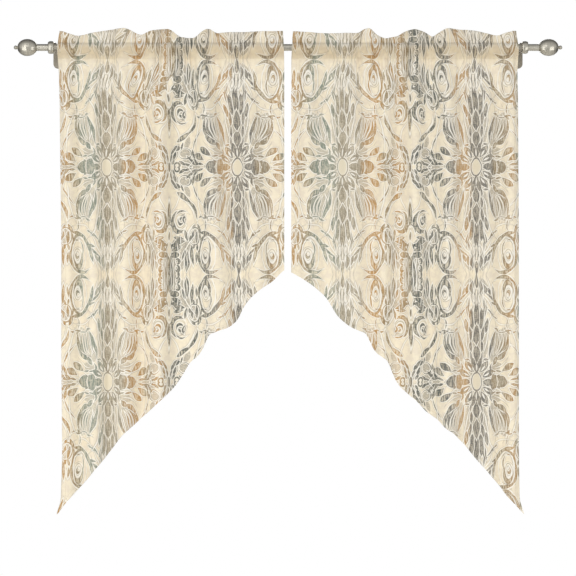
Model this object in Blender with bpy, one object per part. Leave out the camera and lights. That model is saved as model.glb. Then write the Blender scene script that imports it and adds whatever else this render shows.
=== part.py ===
"""A pair of rod-pocket swag drapes with tails, hung on one curtain rod.

Metres, +Z up. The wall is the plane y = 0 and the room is on its -Y side. The rod runs along X
at height 0, and the middle of the pair is x = 0. Each drape is one hemmed panel: a heading that
stands above the rod, a pocket that the rod runs through, and a body that hangs in soft folds down
to a hem cut from a short inner edge to a long tail at the outer edge.
"""

from collections import namedtuple
from math import asin, cos, pi, sin

import bmesh
import bpy
import numpy as np

# Rod and its fittings
ROD_Y = -0.070
ROD_RADIUS = 0.008
ROD_HALF = 0.555
SEAT_GAP = 0.0003
ROUND_STEPS = 28
CUP_START = 0.5432
CUP_END = 0.5486
CUP_RADIUS = 0.011
COLLAR_LENGTH = 0.0142
COLLAR_RADIUS = 0.0150
COLLAR_EDGE_RADIUS = 0.0122
EGG_WIDEST_X = 0.6122
EGG_RADIUS = 0.0200
EGG_INNER_REACH = 0.0253
EGG_OUTER_REACH = 0.0232
BEAD_X = 0.6390
BEAD_RADIUS = 0.0048
BEAD_NECK_RADIUS = 0.0033
PLATE_THICK = 0.003
PLATE_HALF_WIDTH = 0.011
PLATE_TOP_Z = 0.012
PLATE_BOTTOM_Z = -0.044
PLATE_BEVEL = 0.0008
ARM_HALF_HEIGHT = 0.006

# Cloth
FLAT_WIDTH = 0.635
CLOTH = 0.0015
COLUMNS = 54
BODY_ROWS = 10
UPPER_STITCH_Z = 0.0105
LOWER_STITCH_Z = -0.026
SINGLE_PLY_Z = -0.034
FOOT_Z = -0.700
GATHER_FADE = 0.150
GATHER_DEPTH = 0.009
FOLD_DEPTH = 0.020
POCKET_SHARE = 0.45
CORNER_ROUNDING = (-0.006, -0.003, 0.0, 0.003, 0.006)

# The pocket's section round the rod: height and depth of its inner and its outer face.
PocketRow = namedtuple("PocketRow", "inner_z inner_depth outer_z outer_depth")
POCKET = (
    PocketRow(0.0076, 0.0054, 0.0089, 0.0066),
    PocketRow(0.0012, 0.0094, 0.0014, 0.0109),
    PocketRow(-0.0110, 0.0082, -0.0114, 0.0097),
)
POCKET_TOP_Z = 0.0092
# The share of its full depth that the cloth's wave has at a height: the rod holds it flat.
Depth = namedtuple("Depth", "z share")
WAVE_DEPTHS = (Depth(-0.060, 1.0), Depth(-0.026, 0.85), Depth(0.0105, 0.28), Depth(0.045, 1.25))

# One ridge of the body, which stands toward the room and drifts sideways on its way down.
Fold = namedtuple("Fold", "x_top x_foot half_top half_foot depth")
# One gather of the heading and pocket.
Gather = namedtuple("Gather", "x half depth")
Panel = namedtuple("Panel", "name edges heading hem folds gathers")
# Where the two side edges hang at a height.
Edge = namedtuple("Edge", "z left right")
# A point of the heading's top edge or of the hem.
Point = namedtuple("Point", "x z")

LEFT = Panel(
    name="left_drape",
    edges=(
        Edge(0.041, -0.5350, -0.0120),
        Edge(0.010, -0.5410, -0.0100),
        Edge(-0.025, -0.5410, -0.0090),
        Edge(-0.050, -0.5385, -0.0087),
        Edge(-0.123, -0.5360, -0.0087),
        Edge(-0.452, -0.5316, -0.0087),
        Edge(-0.710, -0.5316, -0.0087),
        Edge(-0.945, -0.5293, -0.0087),
        Edge(-1.062, -0.5328, -0.0087),
        Edge(-1.100, -0.5450, -0.0087),
    ),
    heading=(
        Point(-0.536, 0.0390),
        Point(-0.516, 0.0330),
        Point(-0.493, 0.0270),
        Point(-0.465, 0.0330),
        Point(-0.422, 0.0415),
        Point(-0.380, 0.0450),
        Point(-0.361, 0.0360),
        Point(-0.347, 0.0285),
        Point(-0.324, 0.0385),
        Point(-0.289, 0.0450),
        Point(-0.273, 0.0400),
        Point(-0.258, 0.0260),
        Point(-0.235, 0.0220),
        Point(-0.218, 0.0225),
        Point(-0.204, 0.0350),
        Point(-0.187, 0.0450),
        Point(-0.176, 0.0400),
        Point(-0.171, 0.0335),
        Point(-0.113, 0.0365),
        Point(-0.012, 0.0390),
    ),
    hem=(
        Point(-0.5440, -1.1000),
        Point(-0.5335, -1.0830),
        Point(-0.5210, -1.0680),
        Point(-0.4750, -1.0175),
        Point(-0.4330, -0.9670),
        Point(-0.3910, -0.9120),
        Point(-0.3490, -0.8740),
        Point(-0.2900, -0.8200),
        Point(-0.2650, -0.7945),
        Point(-0.2440, -0.7640),
        Point(-0.2320, -0.7405),
        Point(-0.2110, -0.7240),
        Point(-0.1960, -0.6990),
        Point(-0.1880, -0.6740),
        Point(-0.1390, -0.6570),
        Point(-0.1185, -0.6405),
        Point(-0.1060, -0.6110),
        Point(-0.0890, -0.5880),
        Point(-0.0640, -0.5670),
        Point(-0.0350, -0.5480),
        Point(-0.0087, -0.5210),
    ),
    folds=(
        Fold(-0.517, -0.519, 0.030, 0.034, 0.013),
        Fold(-0.461, -0.456, 0.032, 0.038, 0.018),
        Fold(-0.383, -0.384, 0.040, 0.042, 0.021),
        Fold(-0.298, -0.303, 0.040, 0.046, 0.023),
        Fold(-0.200, -0.158, 0.036, 0.066, 0.022),
        Fold(-0.106, -0.060, 0.044, 0.044, 0.015),
    ),
    gathers=(
        Gather(-0.521, 0.022, 0.007),
        Gather(-0.458, 0.026, 0.006),
        Gather(-0.388, 0.034, 0.009),
        Gather(-0.321, 0.024, 0.007),
        Gather(-0.268, 0.022, 0.009),
        Gather(-0.200, 0.026, 0.010),
        Gather(-0.139, 0.030, 0.007),
        Gather(-0.060, 0.038, 0.006),
    ),
)

RIGHT = Panel(
    name="right_drape",
    edges=(
        Edge(0.041, 0.0115, 0.5350),
        Edge(0.010, 0.0095, 0.5400),
        Edge(-0.025, 0.0080, 0.5410),
        Edge(-0.050, 0.0077, 0.5390),
        Edge(-0.123, 0.0077, 0.5400),
        Edge(-0.452, 0.0077, 0.5420),
        Edge(-0.945, 0.0077, 0.5420),
        Edge(-1.062, 0.0077, 0.5440),
        Edge(-1.100, 0.0077, 0.5570),
    ),
    heading=(
        Point(0.012, 0.0385),
        Point(0.070, 0.0340),
        Point(0.164, 0.0335),
        Point(0.174, 0.0400),
        Point(0.187, 0.0450),
        Point(0.197, 0.0420),
        Point(0.204, 0.0320),
        Point(0.228, 0.0205),
        Point(0.258, 0.0260),
        Point(0.275, 0.0385),
        Point(0.300, 0.0425),
        Point(0.324, 0.0360),
        Point(0.338, 0.0230),
        Point(0.352, 0.0330),
        Point(0.373, 0.0450),
        Point(0.425, 0.0410),
        Point(0.460, 0.0350),
        Point(0.493, 0.0270),
        Point(0.510, 0.0340),
        Point(0.535, 0.0395),
    ),
    hem=(
        Point(0.0077, -0.5270),
        Point(0.0350, -0.5430),
        Point(0.0600, -0.5600),
        Point(0.0850, -0.5810),
        Point(0.1000, -0.6020),
        Point(0.1145, -0.6280),
        Point(0.1310, -0.6440),
        Point(0.1480, -0.6570),
        Point(0.1860, -0.6720),
        Point(0.1960, -0.6990),
        Point(0.2065, -0.7160),
        Point(0.2380, -0.7380),
        Point(0.2470, -0.7700),
        Point(0.2610, -0.7945),
        Point(0.3030, -0.8310),
        Point(0.3285, -0.8580),
        Point(0.3535, -0.8740),
        Point(0.3700, -0.8950),
        Point(0.3890, -0.9050),
        Point(0.4120, -0.9295),
        Point(0.4460, -0.9705),
        Point(0.4950, -1.0260),
        Point(0.5160, -1.0550),
        Point(0.5420, -1.0810),
        Point(0.5560, -1.1000),
    ),
    folds=(
        Fold(0.045, 0.050, 0.038, 0.046, 0.014),
        Fold(0.148, 0.150, 0.044, 0.060, 0.022),
        Fold(0.232, 0.221, 0.036, 0.030, 0.016),
        Fold(0.296, 0.300, 0.034, 0.040, 0.019),
        Fold(0.376, 0.374, 0.040, 0.040, 0.022),
        Fold(0.462, 0.466, 0.040, 0.042, 0.020),
        Fold(0.522, 0.524, 0.026, 0.028, 0.012),
    ),
    gathers=(
        Gather(0.052, 0.038, 0.006),
        Gather(0.139, 0.032, 0.008),
        Gather(0.190, 0.024, 0.010),
        Gather(0.246, 0.026, 0.007),
        Gather(0.296, 0.026, 0.009),
        Gather(0.368, 0.036, 0.009),
        Gather(0.441, 0.030, 0.006),
        Gather(0.512, 0.028, 0.008),
    ),
)


def clear_scene():
    for thing in list(bpy.data.objects):
        bpy.data.objects.remove(thing)


def finish_of(name, colour, roughness, metallic):
    """A plain Principled material."""
    material = bpy.data.materials.new(name)
    material.use_nodes = True
    shader = material.node_tree.nodes["Principled BSDF"]
    shader.inputs["Base Color"].default_value = (*colour, 1.0)
    shader.inputs["Roughness"].default_value = roughness
    shader.inputs["Metallic"].default_value = metallic
    return material


def add_object(name, mesh_edit, material, sharp_angle=0.7):
    """Turn an edited mesh into a smooth-shaded object whose faces point out."""
    bmesh.ops.recalc_face_normals(mesh_edit, faces=mesh_edit.faces)
    mesh = bpy.data.meshes.new(name)
    mesh_edit.to_mesh(mesh)
    mesh_edit.free()
    mesh.shade_smooth()
    mesh.set_sharp_from_angle(angle=sharp_angle)
    mesh.materials.append(material)
    thing = bpy.data.objects.new(name, mesh)
    bpy.context.collection.objects.link(thing)
    return thing


# ---------------------------------------------------------------- cloth


def read_table(places, values, at):
    """Read a table at some places, with its corners rounded a little."""
    order = np.argsort(places)
    places = np.asarray(places)[order]
    values = np.asarray(values)[order]
    return np.mean([np.interp(at + shift, places, values) for shift in CORNER_ROUNDING], axis=0)


def read_outline(outline, x):
    return read_table([point.x for point in outline], [point.z for point in outline], x)


def ease(share):
    share = np.clip(share, 0.0, 1.0)
    return share * share * (3.0 - 2.0 * share)


def ridge(x, centre, half):
    """1 on a ridge's line, falling smoothly to 0 at its half width."""
    return (1.0 + np.cos(pi * np.clip((x - centre) / half, -1.0, 1.0))) / 2.0


def body_folds(panel, x, z):
    down = np.clip((LOWER_STITCH_Z - z) / (LOWER_STITCH_Z - FOOT_Z), 0.0, 1.0)
    forward = np.zeros_like(x)
    for fold in panel.folds:
        centre = fold.x_top + (fold.x_foot - fold.x_top) * down
        half = fold.half_top + (fold.half_foot - fold.half_top) * down
        forward += fold.depth * ridge(x, centre, half)
    return forward - FOLD_DEPTH / 2.0


def gathers(panel, x):
    forward = np.zeros_like(x)
    for gather in panel.gathers:
        forward += gather.depth * ridge(x, gather.x, gather.half)
    return forward - GATHER_DEPTH / 2.0


def cloth_wave(panel, x, z):
    """How far the cloth stands toward the room: gathers at the rod turn into folds below it."""
    hung = ease((LOWER_STITCH_Z - z) / GATHER_FADE)
    return (1.0 - hung) * gathers(panel, x) + hung * body_folds(panel, x, z)


def hung_row(panel, z, share):
    """The x and forward places of the cloth's columns at one height.

    The cloth keeps its width: the folds are deepened until the way across it is FLAT_WIDTH.
    """
    heights = [edge.z for edge in panel.edges]
    left = read_table(heights, [edge.left for edge in panel.edges], z)
    right = read_table(heights, [edge.right for edge in panel.edges], z)
    x = np.linspace(left, right, 400)
    wave = cloth_wave(panel, x, z)
    shallow, deep = 0.0, 2.0
    for _ in range(20):
        gain = (shallow + deep) / 2.0
        steps = np.hypot(np.diff(x), gain * np.diff(wave))
        shallow, deep = (gain, deep) if steps.sum() < FLAT_WIDTH else (shallow, gain)
    way = np.concatenate([[0.0], np.cumsum(steps)])
    return np.interp(share * way[-1], way, x), np.interp(share * way[-1], way, gain * wave)


class HungCloth:
    """Where each column of a panel hangs at any height, read from rows at even heights."""

    def __init__(self, panel, columns):
        self.panel = panel
        share = np.linspace(0.0, 1.0, columns)
        self.heights = np.linspace(-1.12, 0.05, 80)
        rows = [hung_row(panel, z, share) for z in self.heights]
        self.x = np.array([row[0] for row in rows])
        self.forward = np.array([row[1] for row in rows])

    def read(self, values, z):
        z = np.broadcast_to(z, values.shape[1])
        return np.array(
            [np.interp(z[i], self.heights, values[:, i]) for i in range(values.shape[1])]
        )

    def points(self, z):
        """Points of the cloth's middle surface, one for each column."""
        z = np.broadcast_to(z, self.x.shape[1])
        heights, shares = zip(*[(depth.z, depth.share) for depth in WAVE_DEPTHS])
        share = np.interp(z, heights, shares)
        forward = self.read(self.forward, z) * share
        return np.stack([self.read(self.x, z), ROD_Y - forward, z], axis=1)

    def outline_heights(self, outline, start_z):
        """The height at which each column meets an edge given by its outline."""
        z = np.full(self.x.shape[1], start_z)
        for _ in range(30):
            z = (z + read_outline(outline, self.read(self.x, z))) / 2.0
        return z


def offset_rows(rows, thickness):
    """Front and back faces of rows of middle points, each half a thickness away."""
    points = np.array(rows)
    down = np.gradient(points, axis=0)
    across = np.gradient(points, axis=1)
    normal = np.cross(down, across)
    normal /= np.linalg.norm(normal, axis=2, keepdims=True)
    normal *= np.where(normal[..., 1:2] > 0.0, -1.0, 1.0)
    half = np.array(thickness)[:, None, None] / 2.0
    return points + normal * half, points - normal * half


def pocket_rows(cloth):
    """Inner and outer faces of the pocket's two plies, from the upper stitch to the lower one."""
    inner_front, outer_front, inner_back, outer_back = [], [], [], []
    for row in POCKET:
        middle = cloth.points(row.inner_z)
        wave = np.clip(ROD_Y - middle[:, 1] + GATHER_DEPTH / 2.0, 0.0, 2.0 * GATHER_DEPTH)
        front_bulge = POCKET_SHARE * wave
        back_bulge = POCKET_SHARE * (wave.max() - wave)
        for faces, depth, z, side, bulge in (
            (inner_front, row.inner_depth, row.inner_z, -1.0, front_bulge),
            (outer_front, row.outer_depth, row.outer_z, -1.0, front_bulge),
            (inner_back, row.inner_depth, row.inner_z, 1.0, back_bulge),
            (outer_back, row.outer_depth, row.outer_z, 1.0, back_bulge),
        ):
            y = ROD_Y + side * (depth + bulge)
            faces.append(np.stack([middle[:, 0], y, np.full_like(y, z)], axis=1))
    return inner_front, outer_front, inner_back, outer_back


def add_rows(mesh_edit, rows):
    return [[mesh_edit.verts.new(point) for point in row] for row in rows]


def add_ring(mesh_edit, ring):
    """Faces all round a ring of rows."""
    for upper, lower in zip(ring, ring[1:] + ring[:1]):
        for i in range(len(upper) - 1):
            mesh_edit.faces.new((upper[i], upper[i + 1], lower[i + 1], lower[i]))


def close_side(mesh_edit, front, back, tunnel_front, tunnel_back, stitches, column):
    """The cut edge of all plies along one side of the panel."""
    upper, lower = stitches
    inner_f = [row[column] for row in tunnel_front]
    inner_b = [row[column] for row in tunnel_back]
    front = [row[column] for row in front]
    back = [row[column] for row in back]
    for i in range(len(front) - 1):
        if upper <= i < lower:
            j = i - upper
            mesh_edit.faces.new((front[i], front[i + 1], inner_f[j + 1], inner_f[j]))
            mesh_edit.faces.new((back[i], back[i + 1], inner_b[j + 1], inner_b[j]))
        elif i == upper - 1:
            mesh_edit.faces.new((front[i], front[i + 1], inner_f[0], back[i + 1], back[i]))
        elif i == lower:
            mesh_edit.faces.new((front[i], front[i + 1], back[i + 1], back[i], inner_f[-1]))
        else:
            mesh_edit.faces.new((front[i], front[i + 1], back[i + 1], back[i]))


def add_drape(panel, material):
    """One panel: heading and pocket of two plies, body of one ply, tail at the outer edge."""
    cloth = HungCloth(panel, COLUMNS)
    heading_z = cloth.outline_heights(panel.heading, 0.035)
    hem_z = cloth.outline_heights(panel.hem, -0.8)
    heading_rise = heading_z - UPPER_STITCH_Z
    upper = [cloth.points(UPPER_STITCH_Z + heading_rise * share) for share in (1.0, 0.5, 0.0)]
    shares = [(1.0 - cos(pi * i / BODY_ROWS)) / 2.0 for i in range(BODY_ROWS + 1)]
    lower = [cloth.points(LOWER_STITCH_Z)]
    lower += [cloth.points(SINGLE_PLY_Z + (hem_z - SINGLE_PLY_Z) * share) for share in shares]
    front_upper, back_upper = offset_rows(upper, [2.0 * CLOTH] * 3)
    front_lower, back_lower = offset_rows(lower, [2.0 * CLOTH] + [CLOTH] * (BODY_ROWS + 1))
    inner_front, outer_front, inner_back, outer_back = pocket_rows(cloth)

    mesh_edit = bmesh.new()
    front = add_rows(mesh_edit, [*front_upper, *outer_front, *front_lower])
    back = add_rows(mesh_edit, [*back_upper, *outer_back, *back_lower])
    top_seam = add_rows(mesh_edit, [cloth.points(POCKET_TOP_Z)])
    low_seam = add_rows(mesh_edit, [cloth.points(LOWER_STITCH_Z + CLOTH)])
    tunnel_front = top_seam + add_rows(mesh_edit, inner_front) + low_seam
    tunnel_back = top_seam + add_rows(mesh_edit, inner_back) + low_seam
    add_ring(mesh_edit, front + back[::-1])
    add_ring(mesh_edit, tunnel_front + tunnel_back[-2:0:-1])
    stitches = (len(upper) - 1, len(upper) + len(POCKET))
    for column in (0, COLUMNS - 1):
        close_side(mesh_edit, front, back, tunnel_front, tunnel_back, stitches, column)
    return add_object(panel.name, mesh_edit, material)


# ---------------------------------------------------------------- rod and fittings


def oval_arc(centre_x, reach, radius, start, end, steps):
    """Points (x, radius) on an oval about the rod's line, by angle from its inner end."""
    angles = [start + (end - start) * i / steps for i in range(steps + 1)]
    return [(centre_x - reach * cos(angle), radius * sin(angle)) for angle in angles]


def add_turned(name, profile, side, material, closed=False):
    """Turn a profile of (x, radius) points about the rod's line, on the side given by its sign."""
    mesh_edit = bmesh.new()
    points = [mesh_edit.verts.new((side * x, 0.0, radius)) for x, radius in profile]
    pairs = list(zip(points, points[1:] + points[:1] if closed else points[1:]))
    edges = [mesh_edit.edges.new(pair) for pair in pairs]
    bmesh.ops.spin(
        mesh_edit,
        geom=points + edges,
        cent=(0.0, 0.0, 0.0),
        axis=(1.0, 0.0, 0.0),
        angle=2.0 * pi,
        steps=ROUND_STEPS,
    )
    bmesh.ops.remove_doubles(mesh_edit, verts=mesh_edit.verts, dist=1e-6)
    thing = add_object(name, mesh_edit, material)
    thing.location = (0.0, ROD_Y, 0.0)
    return thing


def add_rod(material):
    profile = [(-ROD_HALF, 0.0), (-ROD_HALF, ROD_RADIUS), (ROD_HALF, ROD_RADIUS), (ROD_HALF, 0.0)]
    return add_turned("rod", profile, 1.0, material)


def add_finial(name, side, material):
    """A turned egg on a plain neck, with a bead at its tip."""
    neck_start = ROD_HALF + SEAT_GAP
    neck_angle = asin(ROD_RADIUS / EGG_RADIUS)
    tip_angle = pi - asin(BEAD_NECK_RADIUS / EGG_RADIUS)
    bead_angle = asin(BEAD_NECK_RADIUS / BEAD_RADIUS)
    profile = [(neck_start, 0.0), (neck_start, ROD_RADIUS)]
    profile += oval_arc(EGG_WIDEST_X, EGG_INNER_REACH, EGG_RADIUS, neck_angle, pi / 2.0, 5)
    profile += oval_arc(EGG_WIDEST_X, EGG_OUTER_REACH, EGG_RADIUS, pi / 2.0, tip_angle, 6)[1:]
    profile += oval_arc(BEAD_X, BEAD_RADIUS, BEAD_RADIUS, bead_angle, pi, 5)
    return add_turned(name, profile, side, material)


def add_collar(name, side, material):
    """A barrel-shaped ring that covers the joint of rod and finial."""
    start = CUP_END + SEAT_GAP
    middle = start + COLLAR_LENGTH / 2.0
    bore = ROD_RADIUS + SEAT_GAP
    profile = [(start, bore), (start, COLLAR_EDGE_RADIUS)]
    crown = COLLAR_RADIUS - COLLAR_EDGE_RADIUS
    for i in range(1, 6):
        angle = pi * i / 6.0
        x = middle - COLLAR_LENGTH / 2.0 * cos(angle)
        profile.append((x, COLLAR_EDGE_RADIUS + crown * sin(angle)))
    profile += [(start + COLLAR_LENGTH, COLLAR_EDGE_RADIUS), (start + COLLAR_LENGTH, bore)]
    return add_turned(name, profile, side, material, closed=True)


def plate_outline():
    """The wall plate seen from the front: a strip with round ends."""
    steps = 8
    centres = (PLATE_TOP_Z - PLATE_HALF_WIDTH, PLATE_BOTTOM_Z + PLATE_HALF_WIDTH)
    points = []
    for centre_z, start in zip(centres, (0.0, pi)):
        for i in range(steps + 1):
            angle = start + pi * i / steps
            points.append((PLATE_HALF_WIDTH * cos(angle), centre_z + PLATE_HALF_WIDTH * sin(angle)))
    return points


def add_bracket(name, side, material):
    """A wall plate, a flat arm and a cup that the rod runs through, cast in one."""
    middle_x = side * (CUP_START + CUP_END) / 2.0
    mesh_edit = bmesh.new()
    outline = [mesh_edit.verts.new((middle_x + x, 0.0, z)) for x, z in plate_outline()]
    back = mesh_edit.faces.new(outline)
    made = bmesh.ops.extrude_face_region(mesh_edit, geom=[back])
    front = [item for item in made["geom"] if isinstance(item, bmesh.types.BMVert)]
    bmesh.ops.translate(mesh_edit, verts=front, vec=(0.0, -PLATE_THICK, 0.0))
    rim = [edge for edge in mesh_edit.edges if all(vert in front for vert in edge.verts)]
    bmesh.ops.bevel(mesh_edit, geom=rim, offset=PLATE_BEVEL, segments=2, affect="EDGES")
    bracket = add_object(name, mesh_edit, material)

    arm_edit = bmesh.new()
    arm_back = -PLATE_THICK / 2.0
    arm_front = ROD_Y + (CUP_RADIUS + ROD_RADIUS) / 2.0
    size = (CUP_END - CUP_START, arm_back - arm_front, 2.0 * ARM_HALF_HEIGHT)
    middle = (middle_x, (arm_back + arm_front) / 2.0, 0.0)
    bmesh.ops.create_cube(arm_edit, size=1.0)
    bmesh.ops.scale(arm_edit, verts=arm_edit.verts, vec=size)
    bmesh.ops.translate(arm_edit, verts=arm_edit.verts, vec=middle)
    arm = add_object(name + "_arm_tool", arm_edit, material)

    bore = ROD_RADIUS + SEAT_GAP
    ring = [(CUP_START, bore), (CUP_START, CUP_RADIUS), (CUP_END, CUP_RADIUS), (CUP_END, bore)]
    cup = add_turned(name + "_cup_tool", ring, side, material, closed=True)
    for tool in (arm, cup):
        join = bracket.modifiers.new(tool.name, "BOOLEAN")
        join.operation = "UNION"
        join.object = tool
        tool.hide_render = True
        tool.display_type = "WIRE"
    return bracket


def build():
    clear_scene()
    cloth = finish_of("printed_cotton_blend", (0.78, 0.70, 0.56), 0.85, 0.0)
    nickel = finish_of("brushed_nickel", (0.48, 0.45, 0.40), 0.35, 1.0)
    for panel in (LEFT, RIGHT):
        add_drape(panel, cloth)
    add_rod(nickel)
    for side, word in ((-1.0, "left"), (1.0, "right")):
        add_collar("collar_" + word, side, nickel)
        add_finial("finial_" + word, side, nickel)
        add_bracket("bracket_" + word, side, nickel)


build()
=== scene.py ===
"""A pair of rod-pocket swag drapes with pointed tails on a brushed nickel curtain rod."""

from collections import namedtuple
from math import cos, pi, radians, sin

import bmesh
import bpy
import numpy as np
from mathutils import Matrix, Vector


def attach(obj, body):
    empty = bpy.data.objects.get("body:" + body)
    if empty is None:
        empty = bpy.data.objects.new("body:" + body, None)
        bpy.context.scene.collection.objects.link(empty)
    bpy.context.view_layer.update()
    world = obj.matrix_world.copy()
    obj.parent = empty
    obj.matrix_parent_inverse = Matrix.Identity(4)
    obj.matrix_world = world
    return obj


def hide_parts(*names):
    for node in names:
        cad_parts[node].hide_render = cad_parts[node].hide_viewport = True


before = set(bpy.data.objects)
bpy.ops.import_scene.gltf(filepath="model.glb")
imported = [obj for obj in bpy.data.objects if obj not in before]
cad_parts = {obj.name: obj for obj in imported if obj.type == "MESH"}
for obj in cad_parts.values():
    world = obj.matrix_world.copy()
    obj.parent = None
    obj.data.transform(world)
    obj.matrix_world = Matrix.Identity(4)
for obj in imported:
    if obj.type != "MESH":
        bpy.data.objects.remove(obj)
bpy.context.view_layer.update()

# ---------------------------------------------------------------- wall brackets
# Each bracket is die-cast zinc: a wall plate with round ends, a flat arm and a cup for the rod.
# It is barrel-tumbled and then plated with nickel, so it looks softer and darker than the rod.

CAST_GRAIN = 0.0012
CAST_DARK = "857F73"
CAST_LIGHT = "ABA598"


def linear(colour):
    """An sRGB hex value as linear RGBA."""
    parts = [int(colour[i : i + 2], 16) / 255.0 for i in (0, 2, 4)]
    return (*[p / 12.92 if p <= 0.04045 else ((p + 0.055) / 1.055) ** 2.4 for p in parts], 1.0)


def set_up(tree, node, settings):
    """Give a node its own settings and its inputs, where an input is a value or a link."""
    for name, value in settings.items():
        if isinstance(name, str) and name[0].islower():
            setattr(node, name, value)
        elif isinstance(value, bpy.types.NodeSocket):
            tree.links.new(value, node.inputs[name])
        else:
            node.inputs[name].default_value = value
    return node


def add_node(tree, kind, settings):
    return set_up(tree, tree.nodes.new(kind), settings)


def start_material(name):
    """A new material, with its node tree and its shader."""
    material = bpy.data.materials.new(name)
    material.use_nodes = True
    return material, material.node_tree, material.node_tree.nodes["Principled BSDF"]


# Satin nickel over a tumbled casting: even and soft, with its highlights broken by a fine grain.
cast_nickel, tree, shader = start_material("tumbled_nickel_casting")
place = add_node(tree, "ShaderNodeTexCoord", {}).outputs["Object"]
grainy = {"Vector": place, "Scale": 1.0 / CAST_GRAIN, "Detail": 3.0}
grain = add_node(tree, "ShaderNodeTexNoise", grainy).outputs[0]
toned = {"data_type": "RGBA", 0: grain, 6: linear(CAST_DARK), 7: linear(CAST_LIGHT)}
tone = add_node(tree, "ShaderNodeMix", toned).outputs[2]
pitted = {"Height": grain, "Strength": 0.2, "Distance": 0.0002}
relief = add_node(tree, "ShaderNodeBump", pitted).outputs[0]
finish = {"Metallic": 1.0, "Roughness": 0.42, "Base Color": tone, "Normal": relief}
set_up(tree, shader, finish)
for name in ("bracket_left", "bracket_right"):
    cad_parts[name].material_slots[0].material = cast_nickel

# ---------------------------------------------------------------- rod, collars and finials
# The rod is a steel tube with turned zinc collars and egg finials pushed on its ends.
# All are plated with nickel and brushed round and round with a fine belt, then lacquered.

BRUSH_PITCH = 0.0006
BRUSH_LENGTH = 0.030
BRUSHED_DARK = "A6A193"
BRUSHED_LIGHT = "D6D2C6"

# Brushed nickel: warm grey metal whose highlight is drawn out along the rod by lines round it.
brushed_nickel, tree, shader = start_material("brushed_nickel_plate")
place = add_node(tree, "ShaderNodeTexCoord", {}).outputs["Object"]
lines_scale = (1.0 / BRUSH_PITCH, 1.0 / BRUSH_LENGTH, 1.0 / BRUSH_LENGTH)
along = add_node(tree, "ShaderNodeMapping", {"Vector": place, "Scale": lines_scale}).outputs[0]
lined = {"Vector": along, "Scale": 1.0, "Detail": 2.0}
brushed = add_node(tree, "ShaderNodeTexNoise", lined).outputs[0]
toned = {"data_type": "RGBA", 0: brushed, 6: linear(BRUSHED_DARK), 7: linear(BRUSHED_LIGHT)}
tone = add_node(tree, "ShaderNodeMix", toned).outputs[2]
glossy = {"Value": brushed, "To Min": 0.30, "To Max": 0.42}
gloss = add_node(tree, "ShaderNodeMapRange", glossy).outputs[0]
scored = {"Height": brushed, "Strength": 0.25, "Distance": 0.0001}
relief = add_node(tree, "ShaderNodeBump", scored).outputs[0]
finish = {"Metallic": 1.0, "Roughness": gloss, "Base Color": tone, "Normal": relief}
set_up(tree, shader, finish)
for name in ("rod", "collar_left", "collar_right", "finial_left", "finial_right"):
    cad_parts[name].material_slots[0].material = brushed_nickel

# ---------------------------------------------------------------- drapes
# Two panels of printed polyester and cotton, each cut 635 mm wide and 1213 mm long. The top is
# turned back and stitched above and below the rod, which leaves a heading and a pocket. The sides
# are hemmed double, and the long slant is rolled and stitched.

# Sizes and places are in metres. The wall is at y = 0, and heights are from the rod's middle.
ROD_Y = -0.070
FLAT_WIDTH = 0.635
CLOTH = 0.0009
HEM = 0.0022
FLAT_TOP_Z = 0.041
UPPER_STITCH_Z = 0.0105
LOWER_STITCH_Z = -0.026
SINGLE_PLY_Z = -0.034
SEAM_ROWS_Z = (-0.031, -0.0285)
HEADING_SHARES = (0.0, 0.08, 0.2, 0.4, 0.6, 0.8, 1.0)
TOP_TURN_ANGLES = (pi / 4.0, pi / 2.0, 3.0 * pi / 4.0)
FOOT_Z = -0.700
GATHER_FADE = 0.150
GATHER_DEPTH = 0.009
CREASE_FADE = 0.070
FOLD_DEPTH = 0.020
POCKET_SHARE = 0.45
PLY_GAP = 0.00075
SIDE_HEM = 0.016
FOOT_HEM = 0.010
HEM_STEP = 0.0008
PAST_SIDE_HEM = 0.0034
PAST_FOOT_HEM = 0.003
HEM_STITCH_INSET = 0.004
STEEPEST_SLANT = 2.5
COLUMNS = 236
BODY_ROWS = 112
POCKET_ROWS = 14
WIDTH_SAMPLES = 900
HALVINGS = 20
HALVINGS_TO_EDGE = 30
STITCH_PITCH = 0.0045
STITCH_LENGTH = 0.0032
THREAD_WIDTH = 0.0009
CORNER_ROUNDING = (-0.006, -0.003, 0.0, 0.003, 0.006)

# The pocket's section round the rod: how far each ply stands from the rod's line at a height.
PocketKnot = namedtuple("PocketKnot", "z depth")
POCKET = (PocketKnot(-0.0112, 0.0090), PocketKnot(0.0013, 0.0102), PocketKnot(0.0078, 0.0052))
# The share of its full depth that the cloth's wave has at a height: the rod holds it flat.
Depth = namedtuple("Depth", "z share")
WAVE_DEPTHS = (Depth(-0.060, 1.0), Depth(-0.026, 0.85), Depth(0.0105, 0.28), Depth(0.045, 1.25))

# One ridge of the body, half of its width at its top and foot, which drifts sideways between.
Fold = namedtuple("Fold", "x_top x_foot half_top half_foot depth")
# One ridge of the heading and pocket: a gather, or a sharp crease that fades below the seam.
Gather = namedtuple("Gather", "x half depth")
Panel = namedtuple("Panel", "name edges heading hem folds gathers creases")
# A line of stitches along the cloth and how thick the cloth is there.
Seam = namedtuple("Seam", "line ply")
# Where the two side edges hang at a height.
Edge = namedtuple("Edge", "z left right")
# A point of the heading's top edge or of the hem.
Point = namedtuple("Point", "x z")

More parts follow.
